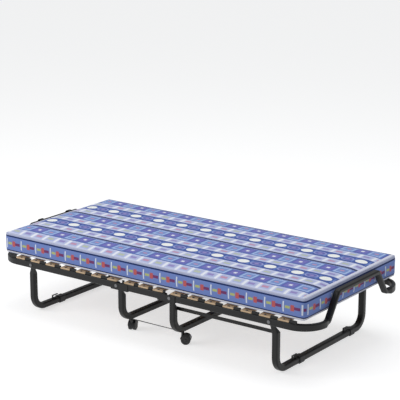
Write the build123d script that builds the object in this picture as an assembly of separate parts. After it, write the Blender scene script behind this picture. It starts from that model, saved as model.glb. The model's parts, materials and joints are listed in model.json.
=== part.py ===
"""Folding guest cot with slatted base: built in millimetres, +Z up, feet on z = 0, centre of the cot at x = y = 0.

+X points to the head end and -Y to the near side. The foot half is the head half turned half a turn about Z.
"""
from build123d import *
import os
from math import cos, radians, sin

os.makedirs("parts", exist_ok=True)

# ---- frame tubes ----
FRAME_LENGTH = 2000          # over the two end tubes
FRAME_WIDTH = 892            # over the two side rails
RAIL_CENTRE_Z = 275
RAIL_WIDTH = 20
RAIL_HEIGHT = 36
RAIL_CORNER = 6              # corner radius of the rail's section
TUBE_WALL = 1.5
FRAME_BEND_R = 120           # centreline radius at the frame's corners

# ---- retaining bar, the raised end of each panel frame ----
BAR_WIDTH = 33               # section along X
BAR_DEPTH = 22               # section in the bar's own plane
BAR_CORNER = 8
BAR_SETBACK = 5              # outer face of the bar to the end of the frame
BAR_CORNER_RUN = 3           # straight tube between the frame's corner and the joint
BAR_TOP_INSET = 248          # upper bend of the bar to the rail's centreline
BAR_RISE = 126               # bar centreline above the rail centreline
BAR_BEND_R = 18
BAR_STRAIGHT = 10            # straight end of the bar beside its foot
BAR_JOIN = 28                # length over which the rail's section turns into the bar's

# ---- hinges between centre section and panels ----
HINGE_X = 170
PIN_R = 5
RUNNING_GAP = 0.05           # radial clearance of a pin that turns
SIDE_GAP = 0.5               # panel rail to each cheek of the hinge bracket
WEB_GAP = 0.3
PLATE = 2.5                  # sheet thickness of the hinge bracket
BRACKET_INWARD = 75          # reach from the hinge pin over the centre rail
BRACKET_OUTWARD = 35         # reach from the hinge pin under the panel rail
CENTRE_RAIL_CUT = 28         # end of the centre rail to the hinge pin
CHEEK_DROP = 2               # top of the inner cheek below the rail centreline
CHEEK_BOSS_R = 14
HEAD_R = 9                   # heads of pins and pivot rivets
HEAD_T = 3
HEAD_ROUND = 1.8

# ---- legs ----
LEG_WIDTH = 34               # section along X
LEG_DEPTH = 32               # section in the leg's own plane
LEG_CORNER = 8
LEG_BEND_R = 70
CENTRE_LEG_X = 165
END_LEG_SETBACK = 223        # end leg to the end of the frame
LEG_TUBE_TOP = 217
CRIMP_TOP = 250              # the tube is pressed flat from its top to here
BLADE_T = 5                  # thickness of the flattened end
BLADE_WIDTH = 26
CENTRE_BLADE_TOP = 265
PIVOT_OFFSET = 18            # end leg's pivot is this far towards the cot's middle
PIVOT_BLADE_R = 15
PIVOT_BLADE_FOOT = 30        # width where the crimp turns into the pivot blade
SIDE_PLAY = 0.3              # play of a turning flat part beside its neighbour
BOLT_R = 3
BOLT_HEAD_R = 5
BOLT_HEAD_T = 4
BOLT_SPACING = 13
BOLT_Z = 260

# ---- foot sleeves ----
SLEEVE_WALL = 3
SLEEVE_LENGTH = 40
SLEEVE_FIT = 0.1            # between sleeve and tube
HOOK_INSET = 195             # middle of a hook to the rail's centreline
HOOK_REACH = 45
HOOK_WIDTH = 8
HOOK_HEIGHT = 18
HOOK_T = 4

# ---- link bars, which keep the end legs upright while a panel folds ----
LINK_DROP = 70               # link pivots below the rail centreline
LINK_INSET = 9               # link pivots towards the cot's middle from the hinge and leg pivot
LINK_HEIGHT = 17
LINK_T = 6
LINK_STANDOFF = 7            # link's outer face to the leg's inner face
STUD_R = 4
BOSS_R = 8
LUG_T = 4.7
LUG_HEIGHT = 24

# ---- casters ----
WHEEL_R = 25
WHEEL_T = 15
WHEEL_EDGE = 3
WEB_T = 8                    # middle web between the two wheels
WHEEL_SIDE_GAP = 0.6
AXLE_R = 3
TRAIL = 16                   # axle behind the stem
HOOD_GAP = 1.5
HOOD_T = 2.5
STEM_R = 5
SOCKET_R = 8
SOCKET_DROP = 8              # socket below the centre leg's bar
SOCKET_RISE = 22
CASTER_INSET = 106           # stem to the rail's centreline
CASTER_HEIGHT = 68           # underside of the centre leg's bar
CASTER_TURN = {"head_near": 30, "foot_near": 110, "head_far": 210, "foot_far": 60}
TIE_ROD_R = 2.5

# ---- slatted base ----
SLAT_T = 8
SLAT_WIDTH = 62
SLAT_OVERHANG = 5            # end of a slat past the rail's centreline
SLAT_CAMBER = 8
CENTRE_SLAT_PITCH = 92
FIRST_SLAT_X = 203
LAST_SLAT_SETBACK = 163      # last slat to the end of the frame
SLATS_PER_PANEL = 7
RIVET_R = 3
RIVET_HEAD_R = 6
RIVET_HEAD_T = 2
RIVET_INSET = 7              # rivet to the end of the slat
RIVET_SEAT = 1            # the head clears the crown of the wood by this much

# ---- low steel keepers welded on the rails between the slats ----
KEEPER_H = 14
KEEPER_T = 6
KEEPER_GAP = 2               # to the slat on each side
KEEPER_SETBACK = 5           # from the end of the centre rail, clear of a folded panel's rivets

# ---- mattress ----
MATTRESS_END_GAP = 6         # to the retaining bar at each end
MATTRESS_OVERHANG = 4        # past the rail's centreline
MATTRESS_T = 117
MATTRESS_GAP = 1             # above the crown of the slats
MATTRESS_FOLD = 45           # panel part starts this far past the hinge
MATTRESS_CORNER = 18
MATTRESS_EDGE = 8
SPLIT_GAP = 1

# ---- closing clips ----
CLIP_Y = 115
CLIP_WIDTH = 24
CLIP_LOOP_GAP = 0.4
CLIP_WALL = 3
CLIP_ARM_T = 8
CLIP_LIP = 8

# ---- sizes that follow ----
RAIL_TOP = RAIL_CENTRE_Z + RAIL_HEIGHT / 2
RAIL_BOTTOM = RAIL_CENTRE_Z - RAIL_HEIGHT / 2
RAIL_CENTRE_Y = FRAME_WIDTH / 2 - RAIL_WIDTH / 2
FRAME_END_X = FRAME_LENGTH / 2 - RAIL_WIDTH / 2
BAR_X = FRAME_LENGTH / 2 - BAR_SETBACK - BAR_WIDTH / 2
BAR_Z = RAIL_CENTRE_Z + BAR_RISE
BAR_JOIN_Y = RAIL_CENTRE_Y - FRAME_BEND_R - BAR_CORNER_RUN - BAR_JOIN
BAR_FOOT_Y = BAR_JOIN_Y - BAR_STRAIGHT
BAR_TOP_Y = RAIL_CENTRE_Y - BAR_TOP_INSET
CHEEK_INNER_Y = RAIL_CENTRE_Y - RAIL_WIDTH / 2 - SIDE_GAP - PLATE
CHEEK_OUTER_Y = RAIL_CENTRE_Y + RAIL_WIDTH / 2 + SIDE_GAP + PLATE
LEG_CENTRE_Y = CHEEK_INNER_Y - LEG_DEPTH / 2
SLEEVE_Y = [side * (RAIL_CENTRE_Y - HOOK_INSET) + (HOOK_REACH + SLEEVE_LENGTH) / 2 for side in (-1, 1)]
CASTER_Y = RAIL_CENTRE_Y - CASTER_INSET
BRACKET_BOTTOM = RAIL_BOTTOM - WEB_GAP - PLATE
SLEEVE_BAR_Z = SLEEVE_WALL + LEG_DEPTH / 2
CASTER_BAR_Z = CASTER_HEIGHT + LEG_DEPTH / 2
END_LEG_X = FRAME_LENGTH / 2 - END_LEG_SETBACK
LEG_PIVOT_X = END_LEG_X - PIVOT_OFFSET
LINK_Z = RAIL_CENTRE_Z - LINK_DROP
LINK_ROOT_X = HINGE_X - LINK_INSET
LINK_TIP_X = LEG_PIVOT_X - LINK_INSET
LINK_OUTER_Y = CHEEK_INNER_Y - LEG_DEPTH - LINK_STANDOFF
LINK_INNER_Y = LINK_OUTER_Y - LINK_T
LAST_SLAT_X = FRAME_LENGTH / 2 - LAST_SLAT_SETBACK
SLAT_PITCH = (LAST_SLAT_X - FIRST_SLAT_X) / (SLATS_PER_PANEL - 1)
SLAT_LENGTH = 2 * (RAIL_CENTRE_Y + SLAT_OVERHANG)
RIVET_Y = SLAT_LENGTH / 2 - RIVET_INSET
MATTRESS_LENGTH = 2 * (BAR_X - BAR_WIDTH / 2 - MATTRESS_END_GAP)
MATTRESS_WIDTH = 2 * (RAIL_CENTRE_Y + MATTRESS_OVERHANG)
MATTRESS_BOTTOM = RAIL_TOP + SLAT_T + SLAT_CAMBER + MATTRESS_GAP
CLIP_REACH = 2 * (HINGE_X - BAR_RISE)        # between the two retaining bars when both panels are up


def save(name, shape):
    """Writes one node as parts/name.step."""
    export_step(shape, f"parts/{name}.step")


def group(*shapes):
    """Several separate solids kept in one node."""
    return Compound(children=[solid for shape in shapes for solid in shape.solids()])


def other_side(shape):
    """The same piece on the far (+Y) side."""
    return mirror(shape, about=Plane.XZ)


def foot_half(shape):
    """The same piece in the foot half: half a turn about Z."""
    return shape.rotate(Axis.Z, 180)


def block(x_range, y_range, z_range):
    """A box between two corners."""
    (x0, x1), (y0, y1), (z0, z1) = x_range, y_range, z_range
    return Pos((x0 + x1) / 2, (y0 + y1) / 2, (z0 + z1) / 2) * Box(x1 - x0, y1 - y0, z1 - z0)


def rod_y(x, z, y0, y1, radius):
    """A round bar along Y."""
    return Pos(x, (y0 + y1) / 2, z) * Rot(90, 0, 0) * Cylinder(radius, abs(y1 - y0))


def section(origin, x_dir, z_dir, width, depth, corner, inset=0.0):
    """A rounded rectangle: width along x_dir, shrunk all round by inset."""
    plane = Plane(origin=origin, x_dir=x_dir, z_dir=z_dir)
    return plane * RectangleRounded(width - 2 * inset, depth - 2 * inset, corner - inset)


def swept_tube(path, x_dir, width, depth, corner):
    """A hollow tube of constant section along a flat path."""
    origin, along = path @ 0, path % 0
    outer = sweep(section(origin, x_dir, along, width, depth, corner), path=path)
    return outer - sweep(section(origin, x_dir, along, width, depth, corner, TUBE_WALL), path=path)


def turning_tube(first, second):
    """A hollow tube whose section changes from the first to the second, both given as section() arguments."""
    outer = loft([section(*first), section(*second)])
    return outer - loft([section(*first, TUBE_WALL), section(*second, TUBE_WALL)])


def keepers(first_x, slat_centres, last_x):
    """Near side: upright tabs on the rail that fill the gaps between slats, from first_x to last_x."""
    half = SLAT_WIDTH / 2
    starts = [first_x, *[x + half + KEEPER_GAP for x in slat_centres]]
    ends = [*[x - half - KEEPER_GAP for x in slat_centres], last_x]
    return [
        block((start, end), (-RAIL_CENTRE_Y - KEEPER_T / 2, -RAIL_CENTRE_Y + KEEPER_T / 2),
              (RAIL_TOP - TUBE_WALL, RAIL_TOP + KEEPER_H))
        for start, end in zip(starts, ends)
        if end - start > 2 * KEEPER_GAP
    ]


# ---- panel frame: two rails, two corners and the raised retaining bar, bent from one tube ----
def panel_frame():
    join_y = BAR_JOIN_Y
    corner_end_y = join_y + BAR_JOIN
    rail_path = FilletPolyline(
        (HINGE_X, -RAIL_CENTRE_Y, RAIL_CENTRE_Z),
        (FRAME_END_X, -RAIL_CENTRE_Y, RAIL_CENTRE_Z),
        (FRAME_END_X, -corner_end_y, RAIL_CENTRE_Z),
        radius=FRAME_BEND_R,
    )
    rail = swept_tube(rail_path, (0, 1, 0), RAIL_WIDTH, RAIL_HEIGHT, RAIL_CORNER)
    rail += rod_y(HINGE_X, RAIL_CENTRE_Z, -RAIL_CENTRE_Y - RAIL_WIDTH / 2,
                  -RAIL_CENTRE_Y + RAIL_WIDTH / 2, RAIL_HEIGHT / 2)
    rail -= rod_y(HINGE_X, RAIL_CENTRE_Z, -CHEEK_OUTER_Y, -CHEEK_INNER_Y, PIN_R + RUNNING_GAP)
    rail -= rod_y(LEG_PIVOT_X, RAIL_CENTRE_Z, -CHEEK_OUTER_Y, -CHEEK_INNER_Y, PIN_R)
    for x in panel_slat_centres():
        rail -= Pos(x, -RIVET_Y, RAIL_TOP) * Cylinder(RIVET_R, 4 * TUBE_WALL)
    slats = panel_slat_centres()
    for keeper in keepers(slats[0], slats, slats[-1] + SLAT_PITCH - SLAT_WIDTH / 2 - KEEPER_GAP):
        rail += keeper
    join = turning_tube(
        ((FRAME_END_X, -corner_end_y, RAIL_CENTRE_Z), (1, 0, 0), (0, 1, 0),
         RAIL_WIDTH, RAIL_HEIGHT, RAIL_CORNER),
        ((BAR_X, -join_y, RAIL_CENTRE_Z), (1, 0, 0), (0, 1, 0), BAR_WIDTH, BAR_DEPTH, BAR_CORNER),
    )
    bar_path = FilletPolyline(
        (BAR_X, -join_y, RAIL_CENTRE_Z), (BAR_X, -BAR_FOOT_Y, RAIL_CENTRE_Z), (BAR_X, -BAR_TOP_Y, BAR_Z),
        (BAR_X, BAR_TOP_Y, BAR_Z), (BAR_X, BAR_FOOT_Y, RAIL_CENTRE_Z), (BAR_X, join_y, RAIL_CENTRE_Z),
        radius=BAR_BEND_R,
    )
    bar = swept_tube(bar_path, (1, 0, 0), BAR_WIDTH, BAR_DEPTH, BAR_CORNER)
    near = rail + join
    return near + bar + other_side(near)


# ---- centre section ----
def centre_rail():
    """Near side: a straight tube as wide as the inside of the hinge brackets."""
    half = HINGE_X - CENTRE_RAIL_CUT
    path = Line((-half, -RAIL_CENTRE_Y, RAIL_CENTRE_Z), (half, -RAIL_CENTRE_Y, RAIL_CENTRE_Z))
    rail = swept_tube(path, (0, 1, 0), RAIL_WIDTH + 2 * SIDE_GAP, RAIL_HEIGHT, RAIL_CORNER)
    for x in centre_slat_centres():
        rail -= Pos(x, -RIVET_Y, RAIL_TOP) * Cylinder(RIVET_R, 4 * TUBE_WALL)
    for keeper in keepers(KEEPER_SETBACK - half, centre_slat_centres(), half - KEEPER_SETBACK):
        rail += keeper
    return rail


def hinge_bracket():
    """Head end, near side: a folded channel that carries the pin and stops the panel at the level."""
    x_range = (HINGE_X - BRACKET_INWARD, HINGE_X + BRACKET_OUTWARD)
    outer = block(x_range, (-CHEEK_OUTER_Y, -CHEEK_OUTER_Y + PLATE), (BRACKET_BOTTOM, RAIL_TOP - CHEEK_DROP))
    web = block(x_range, (-CHEEK_OUTER_Y, -CHEEK_INNER_Y), (BRACKET_BOTTOM, BRACKET_BOTTOM + PLATE))
    inner = block(x_range, (-CHEEK_INNER_Y - PLATE, -CHEEK_INNER_Y), (BRACKET_BOTTOM, RAIL_CENTRE_Z - CHEEK_DROP))
    boss = rod_y(HINGE_X, RAIL_CENTRE_Z, -CHEEK_INNER_Y - PLATE, -CHEEK_INNER_Y, CHEEK_BOSS_R)
    bracket = outer + web + inner + boss
    bracket -= rod_y(HINGE_X, RAIL_CENTRE_Z, -CHEEK_OUTER_Y, -CHEEK_INNER_Y, PIN_R)
    for x in bolt_centres():
        bracket -= rod_y(x, BOLT_Z, -CHEEK_INNER_Y - PLATE, -CHEEK_INNER_Y, BOLT_R)
    return bracket


def hinge_pin():
    shank = rod_y(HINGE_X, RAIL_CENTRE_Z, -CHEEK_OUTER_Y, -CHEEK_INNER_Y, PIN_R)
    outer = rod_y(HINGE_X, RAIL_CENTRE_Z, -CHEEK_OUTER_Y - HEAD_T, -CHEEK_OUTER_Y, HEAD_R)
    outer = fillet(outer.edges().sort_by(Axis.Y)[0], HEAD_ROUND)
    inner = rod_y(HINGE_X, RAIL_CENTRE_Z, -CHEEK_INNER_Y, -CHEEK_INNER_Y + HEAD_T, PIN_R + HEAD_T)
    return shank + outer + inner


def bolt_centres():
    return [CENTRE_LEG_X + side * BOLT_SPACING / 2 for side in (-1, 1)]


def leg_bolts():
    """Near side of the head leg: two screws through the blade into the bracket's inner cheek."""
    inner_face = -CHEEK_INNER_Y + BLADE_T
    bolts = []
    for x in bolt_centres():
        shank = rod_y(x, BOLT_Z, -CHEEK_INNER_Y - PLATE, inner_face, BOLT_R)
        bolts.append(shank + rod_y(x, BOLT_Z, inner_face, inner_face + BOLT_HEAD_T, BOLT_HEAD_R))
    return bolts


def leg_tube(x, centre_y, bar_z):
    """The bent U of a leg, up to where its ends are pressed flat."""
    path = FilletPolyline(
        (x, -centre_y, LEG_TUBE_TOP), (x, -centre_y, bar_z), (x, centre_y, bar_z), (x, centre_y, LEG_TUBE_TOP),
        radius=LEG_BEND_R,
    )
    return swept_tube(path, (1, 0, 0), LEG_WIDTH, LEG_DEPTH, LEG_CORNER)


def leg_crimp(x, centre_y, flat_x, flat_width):
    """Near side: the tube's end, pressed flat against its outer face."""
    flat_y = -(centre_y + LEG_DEPTH / 2 - BLADE_T / 2)
    up, across = (0, 0, 1), (1, 0, 0)
    return loft([
        section((x, -centre_y, LEG_TUBE_TOP), across, up, LEG_WIDTH, LEG_DEPTH, LEG_CORNER),
        section((flat_x, flat_y, CRIMP_TOP), across, up, flat_width, BLADE_T, BLADE_T * 0.4),
    ])


def centre_leg():
    outer_y = CHEEK_INNER_Y
    blade = block((CENTRE_LEG_X - BLADE_WIDTH / 2, CENTRE_LEG_X + BLADE_WIDTH / 2),
                  (-outer_y, -outer_y + BLADE_T), (CRIMP_TOP, CENTRE_BLADE_TOP))
    for x in bolt_centres():
        blade -= rod_y(x, BOLT_Z, -outer_y, -outer_y + BLADE_T, BOLT_R)
    end = leg_crimp(CENTRE_LEG_X, LEG_CENTRE_Y, CENTRE_LEG_X, BLADE_WIDTH) + blade
    leg = leg_tube(CENTRE_LEG_X, LEG_CENTRE_Y, CASTER_BAR_Z) + end + other_side(end)
    for side in (-1, 1):
        leg -= Pos(CENTRE_LEG_X, side * CASTER_Y, CASTER_HEIGHT) * Cylinder(SOCKET_R, 4 * TUBE_WALL)
    return leg


def caster_socket():
    """Near side of the head leg: a sleeve through the bar's underside, closed at its top."""
    bottom, top = CASTER_HEIGHT - SOCKET_DROP, CASTER_HEIGHT + SOCKET_RISE
    outer = Pos(CENTRE_LEG_X, -CASTER_Y, (bottom + top) / 2) * Cylinder(SOCKET_R, top - bottom)
    bore = Pos(CENTRE_LEG_X, -CASTER_Y, (bottom + top) / 2 - PLATE) * Cylinder(STEM_R + RUNNING_GAP, top - bottom)
    return outer - bore


def tie_rod():
    """Near side: runs between the two caster sockets, just under the leg bars."""
    reach = 2 * (CENTRE_LEG_X - SOCKET_R)
    z = CASTER_HEIGHT - SOCKET_DROP / 2
    rod = Pos(0, -CASTER_Y, z) * Rot(0, 90, 0) * Cylinder(TIE_ROD_R, reach + 1)
    for side in (-1, 1):
        rod -= Pos(side * CENTRE_LEG_X, -CASTER_Y, z) * Cylinder(SOCKET_R, 4 * TIE_ROD_R)
    return rod


def link_pivot():
    """Stud on the near side of the head centre leg, which the head link turns on."""
    leg_face = -CHEEK_INNER_Y + LEG_DEPTH
    boss = rod_y(LINK_ROOT_X, LINK_Z, leg_face, -LINK_OUTER_Y - SIDE_PLAY, BOSS_R)
    return boss + link_stud(LINK_ROOT_X)


def link_stud(x):
    shank = rod_y(x, LINK_Z, -LINK_OUTER_Y - SIDE_PLAY, -LINK_INNER_Y + SIDE_PLAY, STUD_R)
    head_face = -LINK_INNER_Y + SIDE_PLAY
    return shank + rod_y(x, LINK_Z, head_face, head_face + HEAD_T, BOSS_R)


# ---- end legs, their feet and links ----
def end_leg():
    centre_y = LEG_CENTRE_Y - SIDE_PLAY
    outer_y = centre_y + LEG_DEPTH / 2
    foot_x = LEG_PIVOT_X + PIVOT_BLADE_R - PIVOT_BLADE_FOOT / 2 + 7
    outline = Plane.XZ.offset(outer_y) * Polygon(
        (foot_x - PIVOT_BLADE_FOOT / 2, CRIMP_TOP), (foot_x + PIVOT_BLADE_FOOT / 2, CRIMP_TOP),
        (LEG_PIVOT_X + PIVOT_BLADE_R, RAIL_CENTRE_Z), (LEG_PIVOT_X - PIVOT_BLADE_R, RAIL_CENTRE_Z), align=None)
    blade = extrude(outline, -BLADE_T)
    blade += rod_y(LEG_PIVOT_X, RAIL_CENTRE_Z, -outer_y, -outer_y + BLADE_T, PIVOT_BLADE_R)
    blade -= rod_y(LEG_PIVOT_X, RAIL_CENTRE_Z, -outer_y - 1, -outer_y + BLADE_T + 1, PIN_R + RUNNING_GAP)
    end = leg_crimp(END_LEG_X, centre_y, foot_x, PIVOT_BLADE_FOOT) + blade
    leg = leg_tube(END_LEG_X, centre_y, SLEEVE_BAR_Z) + end + other_side(end)
    leg_face = -centre_y + LEG_DEPTH / 2
    lug = block((LINK_TIP_X - BOSS_R, END_LEG_X), (leg_face, leg_face + LUG_T),
                (LINK_Z - LUG_HEIGHT / 2, LINK_Z + LUG_HEIGHT / 2))
    boss = rod_y(LINK_TIP_X, LINK_Z, leg_face + LUG_T, -LINK_OUTER_Y - SIDE_PLAY, BOSS_R)
    return leg + lug + boss + link_stud(LINK_TIP_X)


def foot_sleeve(x, y):
    """A moulded sleeve on the end leg's bar, with a hook that stands on the bar beside it."""
    outer = Pos(x, y, SLEEVE_BAR_Z) * Box(LEG_WIDTH + 2 * SLEEVE_WALL, SLEEVE_LENGTH, LEG_DEPTH + 2 * SLEEVE_WALL)
    outer = fillet(outer.edges().filter_by(Axis.Y), LEG_CORNER)
    bar_top = SLEEVE_BAR_Z + LEG_DEPTH / 2 + SLEEVE_FIT
    start = y - SLEEVE_LENGTH / 2
    saddle = block((x - HOOK_WIDTH / 2, x + HOOK_WIDTH / 2), (start - HOOK_REACH, start), (bar_top, bar_top + PLATE))
    post = block((x - HOOK_WIDTH / 2, x + HOOK_WIDTH / 2), (start - HOOK_REACH, start - HOOK_REACH + HOOK_T),
                 (bar_top, bar_top + HOOK_HEIGHT))
    arm = block((x - HOOK_WIDTH / 2, x + HOOK_WIDTH / 2), (start - HOOK_REACH, start - SLEEVE_WALL),
                (bar_top + HOOK_HEIGHT - HOOK_T, bar_top + HOOK_HEIGHT))
    hook = fillet((post + arm).edges().filter_by(Axis.X).group_by(Axis.Z)[-1].sort_by(Axis.Y)[0], HOOK_T)
    bar_path = Line((x, y - SLEEVE_LENGTH, SLEEVE_BAR_Z), (x, y + SLEEVE_LENGTH, SLEEVE_BAR_Z))
    bar = sweep(section(bar_path @ 0, (1, 0, 0), (0, 1, 0), LEG_WIDTH, LEG_DEPTH, LEG_CORNER, -SLEEVE_FIT),
                path=bar_path)
    return (outer - bar) + saddle + hook


def link_bar():
    """Near side of the head half: a flat bar with rounded ends."""
    bar = block((LINK_ROOT_X, LINK_TIP_X), (-LINK_OUTER_Y, -LINK_INNER_Y),
                (LINK_Z - LINK_HEIGHT / 2, LINK_Z + LINK_HEIGHT / 2))
    for x in (LINK_ROOT_X, LINK_TIP_X):
        bar += rod_y(x, LINK_Z, -LINK_OUTER_Y, -LINK_INNER_Y, LINK_HEIGHT / 2)
    for x in (LINK_ROOT_X, LINK_TIP_X):
        bar -= rod_y(x, LINK_Z, -LINK_OUTER_Y, -LINK_INNER_Y, STUD_R + RUNNING_GAP)
    return bar


def leg_pivot():
    """Near side: shouldered rivet through the panel rail that the end leg turns on."""
    leg_face = -(CHEEK_INNER_Y - SIDE_PLAY)
    rail_face = -RAIL_CENTRE_Y + RAIL_WIDTH / 2
    outer_face = -RAIL_CENTRE_Y - RAIL_WIDTH / 2
    blade_face = leg_face + BLADE_T + SIDE_PLAY
    pivot = rod_y(LEG_PIVOT_X, RAIL_CENTRE_Z, outer_face, blade_face, PIN_R)
    head = rod_y(LEG_PIVOT_X, RAIL_CENTRE_Z, outer_face - HEAD_T, outer_face, HEAD_R)
    head = fillet(head.edges().sort_by(Axis.Y)[0], HEAD_ROUND)
    shoulder = rod_y(LEG_PIVOT_X, RAIL_CENTRE_Z, rail_face, leg_face - SIDE_PLAY, HEAD_R)
    inner = rod_y(LEG_PIVOT_X, RAIL_CENTRE_Z, blade_face, blade_face + HEAD_T, HEAD_R - 1)
    return pivot + head + shoulder + inner


# ---- slats ----
def panel_slat_centres():
    return [FIRST_SLAT_X + i * SLAT_PITCH for i in range(SLATS_PER_PANEL)]


def centre_slat_centres():
    return [-CENTRE_SLAT_PITCH, 0, CENTRE_SLAT_PITCH]


def slat(x):
    """A bent wooden slat, crowned in the middle and riveted to both rails."""
    half = SLAT_LENGTH / 2
    start = x - SLAT_WIDTH / 2
    under = ThreePointArc((start, -half, RAIL_TOP), (start, 0, RAIL_TOP + SLAT_CAMBER), (start, half, RAIL_TOP))
    over = Pos(0, 0, SLAT_T) * under
    ends = [Line(under @ i, over @ i) for i in (0, 1)]
    wood = extrude(make_face([under, over, *ends]), SLAT_WIDTH, dir=(1, 0, 0))
    for side in (-1, 1):
        wood -= Pos(x, side * RIVET_Y, RAIL_TOP + SLAT_T / 2) * Cylinder(RIVET_R, 3 * SLAT_T)
    return wood


def slat_rivets(x):
    """The two rivets of one slat: head on the wood, shank into the rail."""
    top = RAIL_TOP + SLAT_T + RIVET_SEAT
    rivet = Pos(x, -RIVET_Y, (RAIL_TOP - 2 * TUBE_WALL + top) / 2) * Cylinder(RIVET_R, top - RAIL_TOP + 2 * TUBE_WALL)
    head = Pos(x, -RIVET_Y, top + RIVET_HEAD_T / 2) * Cylinder(RIVET_HEAD_R, RIVET_HEAD_T)
    rivet += fillet(head.edges().group_by(Axis.Z)[-1], RIVET_HEAD_T * 0.6)
    return rivet, other_side(rivet)


# ---- casters ----
def placed_caster(shape, spot):
    """Turns a caster piece made under the origin to its rest direction, under its own socket."""
    end, side = spot.split("_")
    x = CENTRE_LEG_X if end == "head" else -CENTRE_LEG_X
    y = -CASTER_Y if side == "near" else CASTER_Y
    return Pos(x, y, 0) * Rot(0, 0, CASTER_TURN[spot]) * shape


def caster_fork():
    """Hood, middle web and stem in one moulding; the axle sits behind the stem along +X."""
    hood_r = WHEEL_R + HOOD_GAP + HOOD_T
    width = WEB_T + 2 * (WHEEL_SIDE_GAP + WHEEL_T)
    shell = rod_y(TRAIL, WHEEL_R, -width / 2, width / 2, hood_r)
    shell -= rod_y(TRAIL, WHEEL_R, -width / 2, width / 2, hood_r - HOOD_T)
    shell -= block((TRAIL - 2 * hood_r, TRAIL + 2 * hood_r), (-width, width), (-hood_r, WHEEL_R + 4))
    web = rod_y(TRAIL, WHEEL_R, -WEB_T / 2, WEB_T / 2, WHEEL_R - WHEEL_EDGE)
    web += block((-STEM_R - 2, TRAIL), (-WEB_T / 2, WEB_T / 2), (WHEEL_R, CASTER_HEIGHT - SOCKET_DROP - 12))
    web += rod_y(TRAIL, WHEEL_R, -WEB_T / 2, WEB_T / 2, hood_r - HOOD_T / 2) & block(
        (TRAIL - hood_r, TRAIL + hood_r), (-WEB_T, WEB_T), (WHEEL_R, WHEEL_R + hood_r))
    neck_top = CASTER_HEIGHT - SOCKET_DROP - 1
    neck = Pos(0, 0, neck_top - 7) * Cylinder(STEM_R + 3, 14)
    stem_top = CASTER_HEIGHT + SOCKET_RISE - PLATE - 1
    stem = Pos(0, 0, (neck_top + stem_top) / 2) * Cylinder(STEM_R, stem_top - neck_top)
    fork = shell + web
    fork += neck - rod_y(TRAIL, WHEEL_R, -width, width, hood_r - HOOD_T)
    return fork + stem - rod_y(TRAIL, WHEEL_R, -width, width, AXLE_R)


def caster_axle():
    reach = WEB_T / 2 + WHEEL_SIDE_GAP + WHEEL_T
    return rod_y(TRAIL, WHEEL_R, -reach, reach, AXLE_R)


def caster_wheels():
    """A pair of wheels, one each side of the web."""
    wheels = []
    for side in (-1, 1):
        inner = side * (WEB_T / 2 + WHEEL_SIDE_GAP)
        wheel = rod_y(TRAIL, WHEEL_R, inner, inner + side * WHEEL_T, WHEEL_R)
        wheel = fillet(wheel.edges(), WHEEL_EDGE)
        wheels.append(wheel - rod_y(TRAIL, WHEEL_R, inner, inner + side * WHEEL_T, AXLE_R + RUNNING_GAP))
    return wheels


# ---- closing clip on the foot end's retaining bar ----
def closing_clip(y):
    loop_r = ((BAR_WIDTH / 2 - BAR_CORNER) ** 2 + (BAR_DEPTH / 2 - BAR_CORNER) ** 2) ** 0.5 + BAR_CORNER + CLIP_LOOP_GAP
    outer_r = loop_r + CLIP_WALL
    y0, y1 = y - CLIP_WIDTH / 2, y + CLIP_WIDTH / 2
    hook_z = BAR_Z - CLIP_REACH
    loop = rod_y(-BAR_X, BAR_Z, y0, y1, outer_r)
    hook = rod_y(-BAR_X, hook_z, y0, y1, outer_r)
    arm = block((-BAR_X - CLIP_ARM_T / 2, -BAR_X + CLIP_ARM_T / 2), (y0, y1), (hook_z, BAR_Z))
    clip = loop + hook + arm
    clip -= rod_y(-BAR_X, BAR_Z, y0, y1, loop_r) + rod_y(-BAR_X, hook_z, y0, y1, loop_r)
    mouth = block((-BAR_X - outer_r - 1, -BAR_X), (y0, y1), (hook_z - loop_r, hook_z + loop_r - CLIP_WALL))
    below = block((-BAR_X - outer_r - 1, -BAR_X - CLIP_LIP), (y0, y1), (hook_z - outer_r, hook_z))
    return clip - mouth - below


# ---- mattress ----
def mattress_part(x0, x1):
    """One stretch of the mattress; only the edges at the cot's outside are rounded."""
    half = MATTRESS_WIDTH / 2
    pad = block((x0, x1), (-half, half), (MATTRESS_BOTTOM, MATTRESS_BOTTOM + MATTRESS_T))
    corners = [edge for edge in pad.edges().filter_by(Axis.Z) if abs(edge.center().X) > MATTRESS_LENGTH / 2 - 1]
    if corners:
        pad = fillet(corners, MATTRESS_CORNER)
    flat_faces = pad.faces().filter_by(Axis.Z)
    rims = [edge for face in flat_faces for edge in face.edges() if not is_cut_edge(edge)]
    return fillet(rims, MATTRESS_EDGE)


def is_cut_edge(edge):
    """True for an edge where one stretch of the mattress meets the next."""
    along_y = abs((edge % 0.5).Y) > 0.999
    return along_y and abs(edge.center().X) < MATTRESS_LENGTH / 2 - MATTRESS_CORNER


# ---- write every node ----
rail, bracket, pin = centre_rail(), hinge_bracket(), hinge_pin()
leg = centre_leg()
save("centre_rail_near", rail)
save("centre_rail_far", other_side(rail))
save("centre_leg_head", leg)
save("centre_leg_foot", foot_half(leg))
for side, place in (("near", lambda s: s), ("far", other_side)):
    save(f"hinge_bracket_head_{side}", place(bracket))
    save(f"hinge_bracket_foot_{side}", place(mirror(bracket, about=Plane.YZ)))
pins = [pin, other_side(pin)]
studs = [link_pivot()]
save("hinge_pins", group(*pins, *[foot_half(p) for p in pins]))
save("link_pivots", group(*studs, *[foot_half(s) for s in studs]))
bolts = leg_bolts()
bolts += [other_side(b) for b in bolts]
save("centre_leg_bolts", group(*bolts, *[foot_half(b) for b in bolts]))
sockets = [caster_socket(), other_side(caster_socket())]
save("caster_sockets", group(*sockets, *[foot_half(s) for s in sockets]))
save("tie_rods", group(tie_rod(), other_side(tie_rod())))
for number, x in enumerate(centre_slat_centres(), 1):
    save(f"centre_slat_{number}", slat(x))
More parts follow.
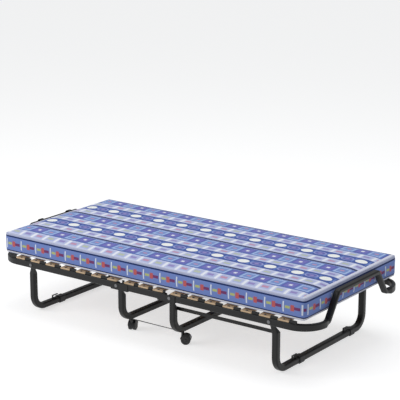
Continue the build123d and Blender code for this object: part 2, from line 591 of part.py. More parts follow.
save("centre_slat_rivets", group(*[r for x in centre_slat_centres() for r in slat_rivets(x)]))

for spot in CASTER_TURN:
    save(f"caster_fork_{spot}", placed_caster(caster_fork(), spot))
    save(f"caster_axle_{spot}", placed_caster(caster_axle(), spot))
    save(f"caster_wheels_{spot}", group(*[placed_caster(w, spot) for w in caster_wheels()]))

frame = panel_frame()
pivots = [leg_pivot(), other_side(leg_pivot())]
rivets = [r for x in panel_slat_centres() for r in slat_rivets(x)]
upright = end_leg()
link = link_bar()
for end, place in (("head", lambda s: s), ("foot", foot_half)):
    save(f"{end}_frame", place(frame))
    save(f"{end}_leg_pivots", group(*[place(p) for p in pivots]))
    save(f"{end}_slat_rivets", group(*[place(r) for r in rivets]))
    for number, x in enumerate(panel_slat_centres(), 1):
        save(f"{end}_slat_{number}", place(slat(x)))
    save(f"{end}_leg", place(upright))
    leg_x = END_LEG_X if end == "head" else -END_LEG_X
    save(f"{end}_leg_feet", group(*[foot_sleeve(leg_x, y) for y in SLEEVE_Y]))
    save(f"{end}_link", place(link))

inner_end = HINGE_X + MATTRESS_FOLD
save("mattress_head", mattress_part(inner_end, MATTRESS_LENGTH / 2))
save("mattress_foot", mattress_part(-MATTRESS_LENGTH / 2, -inner_end))
save("mattress_middle", mattress_part(-inner_end + SPLIT_GAP, inner_end - SPLIT_GAP))
for side, y in (("near", -CLIP_Y), ("far", CLIP_Y)):
    save(f"closing_clip_{side}", closing_clip(y))
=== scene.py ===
# %% [markdown]
# # A folding cot, dressed for a studio picture
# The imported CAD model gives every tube, slat, hinge and wheel in its true place.
# This lesson adds what the solids leave out: paint, wood, moulded plastic, a woven mattress cover,
# the softness of the mattress, and the small pieces a maker adds by hand.

# %% Load the fixed frame
import json
import math

import bpy
import numpy as np
from mathutils import Matrix, Vector
from mathutils.bvhtree import BVHTree

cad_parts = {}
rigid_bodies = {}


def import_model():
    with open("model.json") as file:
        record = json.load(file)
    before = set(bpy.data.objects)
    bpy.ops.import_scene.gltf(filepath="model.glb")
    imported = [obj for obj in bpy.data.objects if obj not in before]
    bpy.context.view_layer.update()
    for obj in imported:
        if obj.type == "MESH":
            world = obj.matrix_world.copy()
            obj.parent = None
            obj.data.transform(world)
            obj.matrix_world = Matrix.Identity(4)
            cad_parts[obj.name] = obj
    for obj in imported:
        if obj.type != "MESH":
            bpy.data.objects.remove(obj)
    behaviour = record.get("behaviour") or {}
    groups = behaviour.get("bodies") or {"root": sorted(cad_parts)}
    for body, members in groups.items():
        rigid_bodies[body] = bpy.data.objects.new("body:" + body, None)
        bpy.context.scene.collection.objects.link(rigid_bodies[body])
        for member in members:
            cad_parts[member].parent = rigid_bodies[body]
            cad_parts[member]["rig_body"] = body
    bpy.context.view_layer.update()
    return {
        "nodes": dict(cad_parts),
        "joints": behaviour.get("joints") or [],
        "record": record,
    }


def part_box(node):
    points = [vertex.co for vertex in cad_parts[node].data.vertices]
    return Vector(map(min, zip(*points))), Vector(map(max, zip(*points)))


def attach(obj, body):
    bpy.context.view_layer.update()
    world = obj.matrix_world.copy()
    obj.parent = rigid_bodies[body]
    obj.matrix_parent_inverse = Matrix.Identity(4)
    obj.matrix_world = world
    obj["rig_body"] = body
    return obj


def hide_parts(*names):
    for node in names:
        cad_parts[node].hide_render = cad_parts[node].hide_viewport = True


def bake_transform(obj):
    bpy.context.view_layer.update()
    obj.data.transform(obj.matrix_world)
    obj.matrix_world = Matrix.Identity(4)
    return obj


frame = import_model()

# %% [markdown]
# ## Working helpers
# Blender's operators act on whatever is selected, so each piece starts from an empty selection.
# A finished piece keeps its object at the origin and its place in its mesh, as the CAD nodes do.


# %% Selection and finishing helpers
def deselect_all():
    for thing in bpy.context.selected_objects:
        thing.select_set(False)


def take(thing):
    """Make one object the only selected and active one."""
    deselect_all()
    thing.select_set(True)
    bpy.context.view_layer.objects.active = thing


def settle(thing, name, material):
    """Put the object's place into its mesh, name it and give it its finish."""
    take(thing)
    bpy.ops.object.transform_apply(location=True, rotation=True, scale=True)
    thing.name = name
    thing.data.materials.clear()
    thing.data.materials.append(material)
    bpy.ops.object.shade_smooth_by_angle(angle=math.radians(40))
    return thing


def apply_modifiers(thing):
    take(thing)
    for modifier in list(thing.modifiers):
        bpy.ops.object.modifier_apply(modifier=modifier.name)


def copy_piece(source, name, move):
    """A copy with its own mesh, moved by a matrix that goes into the mesh."""
    twin = source.copy()
    twin.data = source.data.copy()
    twin.name = name
    twin.data.transform(move)
    bpy.context.scene.collection.objects.link(twin)
    return twin


# %% [markdown]
# ## Camera
# A long lens from well back keeps the cot's long sides nearly parallel. The camera stands to the
# right of the near side and a little above it, and aims just above the sleeping surface.

# %% Place the camera
VIEW_AZIMUTH = math.radians(36.25)
VIEW_ELEVATION = math.radians(14.78)
VIEW_DISTANCE = 7.40
VIEW_TARGET = Vector((0.031, 0, 0.661))
SENSOR_WIDTH = 36.0
FOCAL_OVER_WIDTH = 3.5725

bpy.ops.object.camera_add()
camera = bpy.context.object
back = Vector((
    math.sin(VIEW_AZIMUTH) * math.cos(VIEW_ELEVATION),
    -math.cos(VIEW_AZIMUTH) * math.cos(VIEW_ELEVATION),
    math.sin(VIEW_ELEVATION),
))
camera.location = VIEW_TARGET + VIEW_DISTANCE * back
camera.rotation_euler = back.to_track_quat("Z", "Y").to_euler()
camera.data.sensor_width = SENSOR_WIDTH
camera.data.lens = FOCAL_OVER_WIDTH * SENSOR_WIDTH
bpy.context.scene.camera = camera
print("camera at", [round(v, 2) for v in camera.location], "lens", round(camera.data.lens, 1))

# %% [markdown]
# ## Node arithmetic
# A woven pattern is mostly arithmetic on a place: which band, which repeat, how far from its middle.
# A small class lets that be written as ordinary sums, and each sum becomes a Math node.


# %% A small class for node arithmetic
class Sum:
    """A number in a shader tree, which takes ordinary arithmetic."""

    def __init__(self, tree, socket):
        self.tree = tree
        self.socket = socket

    def node(self, operation, *others):
        made = self.tree.nodes.new("ShaderNodeMath")
        made.operation = operation
        for place, value in enumerate((self, *others)):
            if isinstance(value, Sum):
                self.tree.links.new(value.socket, made.inputs[place])
            else:
                made.inputs[place].default_value = value
        return Sum(self.tree, made.outputs[0])

    def __add__(self, other):
        return self.node("ADD", other)

    def __sub__(self, other):
        return self.node("SUBTRACT", other)

    def __mul__(self, other):
        return self.node("MULTIPLY", other)

    def __truediv__(self, other):
        return self.node("DIVIDE", other)

    def __gt__(self, other):
        return self.node("GREATER_THAN", other)

    def __lt__(self, other):
        return self.node("LESS_THAN", other)

    def size(self):
        return self.node("ABSOLUTE")

    def part(self):
        return self.node("FRACT")

    def larger(self, other):
        return self.node("MAXIMUM", other)

    def between(self, low, high):
        return (self > low) * (self < high)

    def repeat(self, pitch, shift=0.0):
        """Distance from the middle of the nearest repeat."""
        return ((self + shift) / pitch).part() * pitch - pitch / 2


def tone(red, green, blue):
    """A display colour from 0 to 255 as the linear colour that shaders use."""
    shares = [value / 255 for value in (red, green, blue)]
    linear = [v / 12.92 if v <= 10 / 255 else ((v + 0.055) / 1.055) ** 2.4 for v in shares]
    return (*linear, 1.0)


class Finish:
    """A material with its Principled shader and the few nodes that every finish here needs."""

    def __init__(self, name, colour, roughness, metallic=0.0):
        self.material = bpy.data.materials.new(name)
        self.material.use_nodes = True
        self.tree = self.material.node_tree
        self.shader = self.tree.nodes["Principled BSDF"]
        self.shader.inputs["Base Color"].default_value = colour
        self.shader.inputs["Roughness"].default_value = roughness
        self.shader.inputs["Metallic"].default_value = metallic

    def place(self, stretch=(1, 1, 1)):
        """Object coordinates, stretched along each axis."""
        coordinate = self.tree.nodes.new("ShaderNodeTexCoord")
        mapping = self.tree.nodes.new("ShaderNodeMapping")
        mapping.inputs["Scale"].default_value = stretch
        self.tree.links.new(coordinate.outputs["Object"], mapping.inputs["Vector"])
        return mapping.outputs["Vector"]

    def noise(self, where, scale, detail=3.0):
        made = self.tree.nodes.new("ShaderNodeTexNoise")
        made.inputs["Scale"].default_value = scale
        made.inputs["Detail"].default_value = detail
        self.tree.links.new(where, made.inputs["Vector"])
        return Sum(self.tree, made.outputs["Fac"])

    def axes(self, where):
        split = self.tree.nodes.new("ShaderNodeSeparateXYZ")
        self.tree.links.new(where, split.inputs[0])
        return [Sum(self.tree, out) for out in split.outputs]

    def over(self, below, above, mask):
        """Lay one colour over another where the mask is 1."""
        made = self.tree.nodes.new("ShaderNodeMix")
        made.data_type = "RGBA"
        self.tree.links.new(mask.socket, made.inputs[0])
        for place, value in ((6, below), (7, above)):
            if isinstance(value, tuple):
                made.inputs[place].default_value = value
            else:
                self.tree.links.new(value, made.inputs[place])
        return made.outputs[2]

    def colour(self, socket):
        self.tree.links.new(socket, self.shader.inputs["Base Color"])

    def roughness(self, value):
        self.tree.links.new(value.socket, self.shader.inputs["Roughness"])

    def bump(self, height, strength, distance):
        made = self.tree.nodes.new("ShaderNodeBump")
        made.inputs["Strength"].default_value = strength
        made.inputs["Distance"].default_value = distance
        self.tree.links.new(height.socket, made.inputs["Height"])
        self.tree.links.new(made.outputs["Normal"], self.shader.inputs["Normal"])


print("helpers ready")

# %% [markdown]
# ## Powder-coated steel
# The tubes are sprayed with black powder and baked. The skin is smooth and half glossy, with a faint
# orange-peel ripple that breaks up long highlights.

# %% Powder coat
coat = Finish("charcoal powder coat", tone(17, 17, 18), 0.36)
coat_place = coat.place()
coat.bump(coat.noise(coat_place, 700.0), 0.12, 0.0006)
coat.roughness(coat.noise(coat_place, 9.0) * 0.12 + 0.34)
coat.shader.inputs["Specular IOR Level"].default_value = 0.36
powder_coat = coat.material
print(powder_coat.name)

# %% [markdown]
# ## Beech plywood
# Each slat is glued up from thin layers of beech with the grain along it. The face is pale tan with
# short darker flecks, and the edge shows the layers as fine lines.

# %% Beech
LAYER = 0.002
beech = Finish("lacquered beech", tone(222, 188, 142), 0.42)
along_grain = beech.place((1.0, 0.06, 1.0))
streaks = beech.noise(along_grain, 90.0, 5.0)
flecks = beech.noise(beech.place((1.0, 0.12, 1.0)), 420.0, 2.0)
layer = beech.axes(beech.place())[2].repeat(LAYER).size() < LAYER * 0.09
wood = beech.over(tone(232, 206, 172), tone(212, 178, 138), streaks)
wood = beech.over(wood, tone(186, 146, 108), (flecks > 0.64) * 0.4)
wood = beech.over(wood, tone(150, 112, 76), layer * 0.30)
beech.colour(wood)
beech.bump(streaks, 0.08, 0.0004)
beech_wood = beech.material
print(beech_wood.name)

# %% [markdown]
# ## Plastic, nylon and zinc
# The caster housings are glossy black, the wheels and moulded feet are duller, and the rivets, pins
# and screws have a dull zinc plating under a thin film of dirt.


# %% Plastic and metal finishes
def moulded(name, colour, roughness, grain):
    made = Finish(name, colour, roughness)
    made.bump(made.noise(made.place(), grain), 0.10, 0.0004)
    return made.material


caster_shell = moulded("caster housing", tone(30, 30, 32), 0.26, 260.0)
wheel_nylon = moulded("wheel nylon", tone(36, 36, 38), 0.48, 500.0)
foot_plastic = moulded("foot plastic", tone(34, 34, 36), 0.50, 600.0)
clip_plastic = moulded("clip plastic", tone(36, 36, 39), 0.42, 600.0)
zinc = Finish("blackened zinc", tone(120, 120, 122), 0.42, 0.8)
zinc.roughness(zinc.noise(zinc.place(), 160.0) * 0.25 + 0.30)
plated = zinc.material
print("plastics and", plated.name)

# %% Dress the CAD nodes
slot_materials = {
    "frame_steel": powder_coat,
    "beech_slats": beech_wood,
    "caster_housing": caster_shell,
    "caster_tread": wheel_nylon,
    "fasteners": plated,
    "moulded_feet": foot_plastic,
    "clips": clip_plastic,
}
node_slots = {part["node"]: part["material_slot"] for part in frame["record"]["subparts"]}
for node_name, node in frame["nodes"].items():
    finish = slot_materials.get(node_slots[node_name])
    if finish:
        node.data.materials.clear()
        node.data.materials.append(finish)
print("dressed", len(frame["nodes"]), "nodes")

# %% [markdown]
# ## Slats
# A real slat is pressed to a slight crown, and its long edges are rounded over so that they don't cut
# the cover. Its section is drawn once as a rectangle with rounded corners, then spun through a small
# angle about a far-away axis, which bends it exactly as the press does.

# %% Model one slat and copy it to every place
SLAT_EDGE = 0.0022
SLAT_THICK = 0.008
BEND_STEPS = 18
low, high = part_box("centre_slat_2")
slat_half = (high.y - low.y) / 2
slat_width = high.x - low.x
END_DROP = (high.z - low.z) - SLAT_THICK
bend_radius = (slat_half**2 + END_DROP**2) / (2 * END_DROP)
bend_angle = 2 * math.asin(slat_half / bend_radius)
bend_centre = Vector((0, 0, low.z + END_DROP - bend_radius))

deselect_all()
bpy.ops.mesh.primitive_plane_add(
    size=1, location=(0, 0, low.z + END_DROP + SLAT_THICK / 2), rotation=(math.pi / 2, 0, 0)
)
slat = bpy.context.object
slat.scale = (slat_width, SLAT_THICK, 1)
bpy.ops.object.transform_apply(location=True, rotation=True, scale=True)
slat.data.transform(
    Matrix.Translation(bend_centre)
    @ Matrix.Rotation(bend_angle / 2, 4, "X")
    @ Matrix.Translation(-bend_centre)
)
bpy.ops.object.mode_set(mode="EDIT")
bpy.ops.mesh.select_all(action="SELECT")
bpy.ops.mesh.bevel(offset=SLAT_EDGE, segments=3, affect="VERTICES")
bpy.ops.mesh.select_all(action="SELECT")
bpy.ops.mesh.spin(steps=BEND_STEPS, angle=bend_angle, center=bend_centre, axis=(1, 0, 0))
bpy.ops.mesh.select_all(action="SELECT")
bpy.ops.mesh.remove_doubles(threshold=0.00005)
bpy.ops.mesh.normals_make_consistent(inside=False)
bpy.ops.object.mode_set(mode="OBJECT")
settle(slat, "slat_pattern", beech_wood)
slat_ys = [v.co.y for v in slat.data.vertices]
print("slat spans", round(min(slat_ys), 4), round(max(slat_ys), 4), "radius", round(bend_radius, 2))

slat_nodes = [name for name in frame["nodes"] if "slat_" in name and "rivets" not in name]
for node_name in slat_nodes:
    low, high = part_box(node_name)
    body = frame["nodes"][node_name]["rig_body"]
    board = copy_piece(slat, node_name + "_board", Matrix.Translation(((low.x + high.x) / 2, 0, 0)))
    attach(board, body)
    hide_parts(node_name)
bpy.data.objects.remove(slat)
print("slats placed:", len(slat_nodes))

# %% [markdown]
# ## The mattress cover's weave
# The cover is a bright woven ticking. Bands run along the mattress, in a repeat of four: two pale
# bands with small dashes, a dark band of ovals, and a blue band of squares beside a navy line. The
# border has tall pale bars with short coloured dashes between them. The pattern reads the place each
# point had before the mattress was stuffed, so it moves with the cloth.

# %% Read the mattress's place
pad_low = Vector(map(min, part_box("mattress_foot")[0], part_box("mattress_head")[0]))
pad_high = Vector(map(max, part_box("mattress_foot")[1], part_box("mattress_head")[1]))
HALF_LENGTH, HALF_WIDTH = pad_high.x, pad_high.y
PAD_TOP, PAD_BOTTOM = pad_high.z, pad_low.z
COVER_PLACE = "cover_place"
print("mattress", round(2 * HALF_LENGTH, 3), round(2 * HALF_WIDTH, 3), round(PAD_TOP - PAD_BOTTOM, 3))

# %% Weave the cover
BAND_REPEAT = 0.340
BAND_START = 0.255
MOTIF_PITCH = 0.160
DASH_PITCH = 0.080
BORDER_PITCH = 0.104
STRIP = 0.024
END_REACH = 0.012
FLAT_REACH = 0.004

PALE = tone(202, 208, 238)
BRIGHT = tone(236, 240, 250)
NAVY = tone(28, 48, 104)
DEEP = tone(54, 84, 164)
MID = tone(92, 124, 196)
PURPLE = tone(112, 112, 192)
PINK = tone(196, 146, 178)
STRAW = tone(188, 198, 178)
VIOLET = tone(150, 140, 200)

weave = Finish("woven ticking", MID, 0.85)
attribute = weave.tree.nodes.new("ShaderNodeAttribute")
attribute.attribute_name = COVER_PLACE
x, y, z = weave.axes(attribute.outputs["Vector"])


def pale_band(below, across, shift):
    """Short dashes of three colours between pale upright bars."""
    along = x.repeat(DASH_PITCH, shift)
    colour = weave.over(below, BRIGHT, (along.size() > 0.033) * (across.size() < 0.028))
    patch = (along.size() < 0.026) * (across.size() < 0.021)
    colour = weave.over(colour, tone(178, 188, 226), patch)
    dash = ((along + 0.004).size() < 0.019) * (across.size() < 0.009)
    turn = ((x + shift) / (3 * DASH_PITCH)).part()
    colour = weave.over(colour, PINK, dash * (turn < 0.34))
    colour = weave.over(colour, STRAW, dash * turn.between(0.34, 0.67))
    return weave.over(colour, VIOLET, dash * (turn > 0.67))


def oval_band(below, across):
    """White ovals, with framed purple ovals between them."""
    first, second = x.repeat(MOTIF_PITCH), x.repeat(MOTIF_PITCH, MOTIF_PITCH / 2)
    up = across / 0.026
    white = (first / 0.033) * (first / 0.033) + up * up
    framed = (second / 0.037) * (second / 0.037) + up * up
    colour = weave.over(below, MID, (first.size().between(0.036, 0.046)) * (across.size() < 0.034))
    colour = weave.over(colour, tone(150, 158, 214), framed < 1.0)
    colour = weave.over(colour, tone(92, 100, 178), framed < 0.60)
    colour = weave.over(colour, VIOLET, framed < 0.12)
    return weave.over(colour, tone(250, 252, 250), white < 1.0)


def square_band(below, across):
    """Light framed squares, with purple squares between them."""
    first, second = x.repeat(MOTIF_PITCH), x.repeat(MOTIF_PITCH, MOTIF_PITCH / 2)
    light, dark = first.size().larger(across.size()), second.size().larger(across.size())
    colour = weave.over(below, tone(168, 192, 234), light < 0.036)
    colour = weave.over(colour, tone(118, 146, 208), light < 0.026)
    colour = weave.over(colour, PINK, (first.size() < 0.012) * (across.size() < 0.007))
    colour = weave.over(colour, tone(88, 92, 176), dark < 0.036)
    colour = weave.over(colour, PURPLE, dark < 0.028)
    return weave.over(colour, BRIGHT, dark < 0.009)


band = ((y + BAND_START) / BAND_REPEAT).part() * BAND_REPEAT
top = weave.over(PALE, pale_band(PALE, band - 0.038, 0.0), band < 0.075)
top = weave.over(top, oval_band(DEEP, band - 0.119), band.between(0.075, 0.163))
top = weave.over(top, pale_band(PALE, band - 0.196, 0.05), band.between(0.163, 0.228))
top = weave.over(top, square_band(MID, band - 0.274), band.between(0.228, 0.318))
for line_start, line_end in ((0.073, 0.079), (0.160, 0.166), (0.226, 0.231)):
    top = weave.over(top, DEEP, band.between(line_start, line_end))
top = weave.over(top, NAVY, band > 0.320)
edge_strip = x.size() > HALF_LENGTH - STRIP
top = weave.over(top, tone(226, 228, 242), edge_strip)

depth = z * -1.0 + PAD_TOP
at_end = x.size() > HALF_LENGTH - END_REACH
run = x * (at_end * -1.0 + 1.0) + y * at_end
step = (run / BORDER_PITCH).part() * BORDER_PITCH
mottle = weave.noise(attribute.outputs["Vector"], 14.0)
side = weave.over(tone(112, 140, 204), tone(124, 142, 208), mottle)
side = weave.over(side, tone(232, 238, 248), (step < 0.007) * depth.between(0.034, 0.086))
side = weave.over(side, tone(190, 196, 128), step.between(0.013, 0.040) * depth.between(0.052, 0.065))
side = weave.over(side, tone(200, 98, 100), step.between(0.044, 0.064) * depth.between(0.044, 0.074))
side = weave.over(side, tone(124, 62, 112), step.between(0.064, 0.097) * depth.between(0.052, 0.067))
side = weave.over(side, NAVY, depth.between(0.015, 0.024))
side = weave.over(side, NAVY, depth.between(0.096, 0.104))
side = weave.over(side, tone(178, 186, 218), depth < 0.015)
side = weave.over(side, tone(238, 236, 236), depth > 0.104)
is_flat = (z > PAD_TOP - FLAT_REACH).larger(z < PAD_BOTTOM + FLAT_REACH)
weave.colour(weave.over(side, top, is_flat))
threads = weave.noise(attribute.outputs["Vector"], 620.0, 2.0)
weave.bump(threads, 0.25, 0.0008)
weave.shader.inputs["Sheen Weight"].default_value = 0.15
weave.shader.inputs["Specular IOR Level"].default_value = 0.25
ticking = weave.material
piping_finish = Finish("piping tape", tone(196, 200, 222), 0.8)
piping_finish.bump(piping_finish.noise(piping_finish.place(), 500.0), 0.2, 0.0006)
piping_tape = piping_finish.material
print("cover nodes:", len(weave.tree.nodes))

# %% [markdown]
# ## The mattress
# Inside is one block of foam, and the cover is sewn a touch tight over it. The flat panels swell a
# little between the edge seams, and the long borders bow out. Here the block is remeshed into small
# even quads, and a cloth simulation with a little air pressure stuffs the cover, while the seams are
# held. It is cut across the middle into two halves.

# %% Shape the foam block
CORNER = 0.020
SHRINK = 0.002
VOXEL = 0.015
SEAM_REACH = 0.010
UPRIGHT_RISE = 0.05

deselect_all()
bpy.ops.mesh.primitive_cube_add(size=1, location=(0, 0, (PAD_TOP + PAD_BOTTOM) / 2))
pad = bpy.context.object
pad.scale = (2 * (HALF_LENGTH - SHRINK), 2 * (HALF_WIDTH - SHRINK), PAD_TOP - PAD_BOTTOM)
bpy.ops.object.transform_apply(location=True, rotation=True, scale=True)
heights = [point.co.z for point in pad.data.vertices]
upright = [
    edge.index
    for edge in pad.data.edges
    if abs(heights[edge.vertices[0]] - heights[edge.vertices[1]]) > UPRIGHT_RISE
]
bpy.ops.object.mode_set(mode="EDIT")
bpy.ops.mesh.select_all(action="DESELECT")
bpy.ops.object.mode_set(mode="OBJECT")
for index in upright:
    pad.data.edges[index].select = True
bpy.ops.object.mode_set(mode="EDIT")
bpy.ops.mesh.select_mode(type="EDGE")
bpy.ops.mesh.bevel(offset=CORNER, segments=6, affect="EDGES")
bpy.ops.object.mode_set(mode="OBJECT")
pad.data.remesh_voxel_size = VOXEL
take(pad)
bpy.ops.object.voxel_remesh()
print("foam block points:", len(pad.data.vertices))


# %% Remember each point's place and hold the seams
def points_of(mesh):
    flat = np.empty(len(mesh.vertices) * 3)
    mesh.vertices.foreach_get("co", flat)
    return flat.reshape(-1, 3)


rest = points_of(pad.data)
place = pad.data.attributes.new(COVER_PLACE, "FLOAT_VECTOR", "POINT")
place.data.foreach_set("vector", rest.astype(np.float32).ravel())
seam_gap = np.minimum(np.abs(rest[:, 2] - PAD_TOP), np.abs(rest[:, 2] - PAD_BOTTOM))
rim_gap = np.minimum(HALF_LENGTH - np.abs(rest[:, 0]), HALF_WIDTH - np.abs(rest[:, 1]))
seam = np.flatnonzero((seam_gap < SEAM_REACH) & (rim_gap < SEAM_REACH))
held = pad.vertex_groups.new(name="seam")
held.add([int(i) for i in seam], 1.0, "REPLACE")
print("points held at the seams:", len(seam))

# %% Stuff the cover
SWELL_CAP = 0.0065
PRESSURE = 4.0
FRAMES = 20


def stuff(thing):
    """Cloth with a little air in it, then each point's travel is capped."""
    before = points_of(thing.data)
    take(thing)
    bpy.ops.object.modifier_add(type="CLOTH")
    cloth = thing.modifiers[-1]
    cloth.settings.use_pressure = True
    cloth.settings.uniform_pressure_force = PRESSURE
    cloth.settings.vertex_group_mass = "seam"
    cloth.settings.tension_stiffness = 18
    cloth.settings.compression_stiffness = 6
    cloth.settings.bending_stiffness = 0.2
    cloth.settings.effector_weights.gravity = 0
    cloth.settings.quality = 4
    for number in range(1, FRAMES + 1):
        bpy.context.scene.frame_set(number)
    shown = thing.evaluated_get(bpy.context.evaluated_depsgraph_get())
    after = points_of(shown.data)
    thing.modifiers.remove(cloth)
    move = after - before
    length = np.linalg.norm(move, axis=1)
    cap = SWELL_CAP * np.tanh(length / SWELL_CAP)
    after = before + move * (cap / np.maximum(length, 1e-9))[:, None]
    thing.data.vertices.foreach_set("co", after.ravel())
    thing.data.update()
    bpy.context.scene.frame_set(1)
    print("cover swelled by at most", round(float(cap.max()) * 1000, 1), "mm")


stuff(pad)
take(pad)
bpy.ops.object.modifier_add(type="SUBSURF")
pad.modifiers[-1].levels = 1
pad.modifiers[-1].render_levels = 1
apply_modifiers(pad)

# %% [markdown]
# ## Two halves and their piping
# The seams along the top and bottom edges are covered by a thin piping. It is drawn as a path round
# each half's edge, laid on the stuffed cover, and given a round section. Each half and its piping
# then have their place put into their mesh; they are not bent.


def half_of(source, name, sign):
    half = copy_piece(source, name, Matrix.Identity(4))
    take(half)
    bpy.ops.object.mode_set(mode="EDIT")
    bpy.ops.mesh.select_all(action="SELECT")
    bpy.ops.mesh.bisect(
        plane_co=(0, 0, 0), plane_no=(sign, 0, 0), clear_inner=True, use_fill=True
    )
    bpy.ops.object.mode_set(mode="OBJECT")
    half.vertex_groups.clear()
    settle(half, name, ticking)
    return half


def bend_over_hinge(thing):
    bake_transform(thing)


PIPING_RADIUS = 0.0026
SIDE_STEPS = 40
CORNER_STEPS = 6
TOP_SEAM_DROP = 0.002
BOTTOM_SEAM_RISE = 0.003


def piping(name, half, sign, level):
    """The piping round one half's edge, laid on its surface at one height."""
    points = [point.co for point in half.data.vertices]
    surface = BVHTree.FromPolygons(points, [face.vertices[:] for face in half.data.polygons])
    path = bpy.data.curves.new(name, "CURVE")
    path.dimensions = "3D"
    path.bevel_depth = PIPING_RADIUS
    path.bevel_resolution = 2
    out_x, out_y = HALF_LENGTH - SHRINK, HALF_WIDTH - SHRINK
    corner_steps = range(CORNER_STEPS + 1)
    route = [(0, -out_y)]
    route += [(sign * (out_x - CORNER) * i / SIDE_STEPS, -out_y) for i in range(1, SIDE_STEPS)]
    for side, order in ((-1, corner_steps), (1, reversed(corner_steps))):
        for i in order:
            turn = math.radians(90 * i / CORNER_STEPS)
            route.append((
                sign * (out_x - CORNER + CORNER * math.sin(turn)),
                side * (out_y - CORNER + CORNER * math.cos(turn)),
            ))
    route += [(sign * (out_x - CORNER) * i / SIDE_STEPS, out_y) for i in range(SIDE_STEPS - 1, 0, -1)]
    route.append((0, out_y))
    line = path.splines.new("POLY")
    line.points.add(len(route) - 1)
    for point, (along, across) in zip(line.points, route):
        point.co = (*surface.find_nearest(Vector((along, across, level)))[0], 1)
    cord = bpy.data.objects.new(name, path)
    bpy.context.scene.collection.objects.link(cord)
    take(cord)
    bpy.ops.object.convert(target="MESH")
    return settle(bpy.context.object, name, piping_tape)


for end, sign in (("head", 1), ("foot", -1)):
    half = half_of(pad, f"mattress_{end}_half", sign)
    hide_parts(f"mattress_{end}", "mattress_middle")
    bend_over_hinge(half)
    seams = (("top", PAD_TOP - TOP_SEAM_DROP), ("bottom", PAD_BOTTOM + BOTTOM_SEAM_RISE))
    for edge_name, level in seams:
        edging = piping(f"piping_{end}_{edge_name}", half, sign, level)
        bend_over_hinge(edging)
    print(end, "half faces:", len(half.data.polygons))
bpy.data.objects.remove(pad)

# %% [markdown]
# ## Caster faces
# Each wheel is a moulded disc with a raised rim, a hollow face and a small cap over its axle. The
# face is cut from a cylinder by insets, and the copies turn with their wheels.

# %% Model a wheel face and copy it to every wheel
FACE_RADIUS = 0.0205
FACE_THICK = 0.0016
FACE_GAP = 0.0002
AXLE_DIAMETER = 0.006


def face_polygons(thing, low_z):
    return [p.index for p in thing.data.polygons if p.center.z > low_z and p.normal.z > 0.9]


deselect_all()
bpy.ops.mesh.primitive_cylinder_add(
    vertices=40, radius=FACE_RADIUS, depth=FACE_THICK, location=(0, 0, 0)
)
wheel_face = bpy.context.object
bpy.ops.object.mode_set(mode="EDIT")
bpy.ops.mesh.select_all(action="DESELECT")
bpy.ops.object.mode_set(mode="OBJECT")
for index in face_polygons(wheel_face, 0):
    wheel_face.data.polygons[index].select = True
bpy.ops.object.mode_set(mode="EDIT")
bpy.ops.mesh.select_mode(type="FACE")
bpy.ops.mesh.inset(thickness=0.0030)
bpy.ops.mesh.inset(thickness=0.0010, depth=-0.0010)
bpy.ops.mesh.inset(thickness=0.0085)
bpy.ops.mesh.inset(thickness=0.0008, depth=0.0018)
bpy.ops.mesh.inset(thickness=0.0030, depth=0.0008)
bpy.ops.object.mode_set(mode="OBJECT")
settle(wheel_face, "wheel_face_pattern", caster_shell)

joints = {joint["name"]: joint for joint in frame["joints"]}
for spot in ("head_near", "foot_near", "head_far", "foot_far"):
    roll = joints["roll_" + spot]
    axis = Vector(roll["axis"]).normalized()
    centre = Vector(roll["pos_m"])
    low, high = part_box("caster_axle_" + spot)
    reach = Vector((high.x - low.x, high.y - low.y, 0)).dot(Vector((abs(axis.x), abs(axis.y), 0)))
    half_track = (reach - 2 * AXLE_DIAMETER * abs(axis.x * axis.y)) / 2
    for side_name, way in (("a", 1), ("b", -1)):
        turn = (axis * way).to_track_quat("Z", "Y").to_matrix().to_4x4()
        spotted = Matrix.Translation(centre + axis * way * (half_track + FACE_GAP)) @ turn
        disc = copy_piece(wheel_face, f"wheel_face_{spot}_{side_name}", spotted)
        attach(disc, "wheel_" + spot)
bpy.data.objects.remove(wheel_face)
print("wheel faces placed")

# %% [markdown]
# ## Floor, backdrop and light
# The cot stands on a white sweep. One big soft lamp from the upper left models the tubes, a weaker
# one fills from the right, and a broad one overhead lights the mattress.

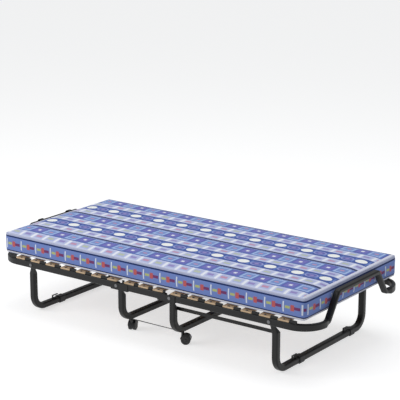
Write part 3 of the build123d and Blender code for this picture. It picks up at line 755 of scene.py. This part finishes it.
# %% Floor
FLOOR_GLOW = 0.62
FLOOR_SHADE = 0.62
FLOOR_SIZE = 60
FLOOR_LEVEL = -0.0005
deselect_all()
bpy.ops.mesh.primitive_plane_add(size=FLOOR_SIZE, location=(0, 0, FLOOR_LEVEL))
floor = bpy.context.object
floor.name = "floor"
paper = Finish("white sweep", (0.80, 0.80, 0.80, 1), 0.9)
paper.shader.inputs["Specular IOR Level"].default_value = 0.0
nodes, links = paper.tree.nodes, paper.tree.links
seen_rays = nodes.new("ShaderNodeLightPath")
seen = Sum(paper.tree, seen_rays.outputs["Is Camera Ray"]).larger(
    Sum(paper.tree, seen_rays.outputs["Is Glossy Ray"])
)
glow = nodes.new("ShaderNodeEmission")
glow.inputs["Strength"].default_value = FLOOR_GLOW
matt = nodes.new("ShaderNodeBsdfDiffuse")
matt.inputs["Color"].default_value = (FLOOR_SHADE, FLOOR_SHADE, FLOOR_SHADE, 1)
both = nodes.new("ShaderNodeAddShader")
links.new(glow.outputs[0], both.inputs[0])
links.new(matt.outputs[0], both.inputs[1])
choice = nodes.new("ShaderNodeMixShader")
links.new(seen.socket, choice.inputs["Fac"])
links.new(paper.shader.outputs[0], choice.inputs[1])
links.new(both.outputs[0], choice.inputs[2])
links.new(choice.outputs[0], nodes["Material Output"].inputs["Surface"])
floor.data.materials.append(paper.material)


# %% World and lamps
def lamp(name, place, target, size, power):
    bpy.ops.object.light_add(type="AREA", location=place)
    made = bpy.context.object
    made.name = name
    made.rotation_euler = (Vector(place) - Vector(target)).to_track_quat("Z", "Y").to_euler()
    made.data.shape = "RECTANGLE"
    made.data.size, made.data.size_y = size
    made.data.energy = power
    return made


lamp("key", (-3.4, -4.2, 3.6), (0, 0, 0.3), (3.0, 2.4), 120)
lamp("overhead", (0.2, 0.8, 4.6), (0, 0, 0.3), (4.0, 3.0), 70)
lamp("fill", (4.6, -3.0, 2.0), (0, 0, 0.3), (2.5, 2.5), 4)

world = bpy.data.worlds.new("studio")
bpy.context.scene.world = world
world.use_nodes = True
sky = world.node_tree
soft = sky.nodes["Background"]
soft.inputs["Color"].default_value = (0.96, 0.98, 1.0, 1)
soft.inputs["Strength"].default_value = 0.42
white = sky.nodes.new("ShaderNodeBackground")
white.inputs["Color"].default_value = (1, 1, 1, 1)
white.inputs["Strength"].default_value = 1.0
rays = sky.nodes.new("ShaderNodeLightPath")
choose = sky.nodes.new("ShaderNodeMixShader")
sky.links.new(rays.outputs["Is Camera Ray"], choose.inputs["Fac"])
sky.links.new(soft.outputs["Background"], choose.inputs[1])
sky.links.new(white.outputs["Background"], choose.inputs[2])
sky.links.new(choose.outputs["Shader"], sky.nodes["World Output"].inputs["Surface"])
bpy.context.scene.view_settings.view_transform = "Standard"

# %% [markdown]
# ## Finish

# %% Finish
deselect_all()
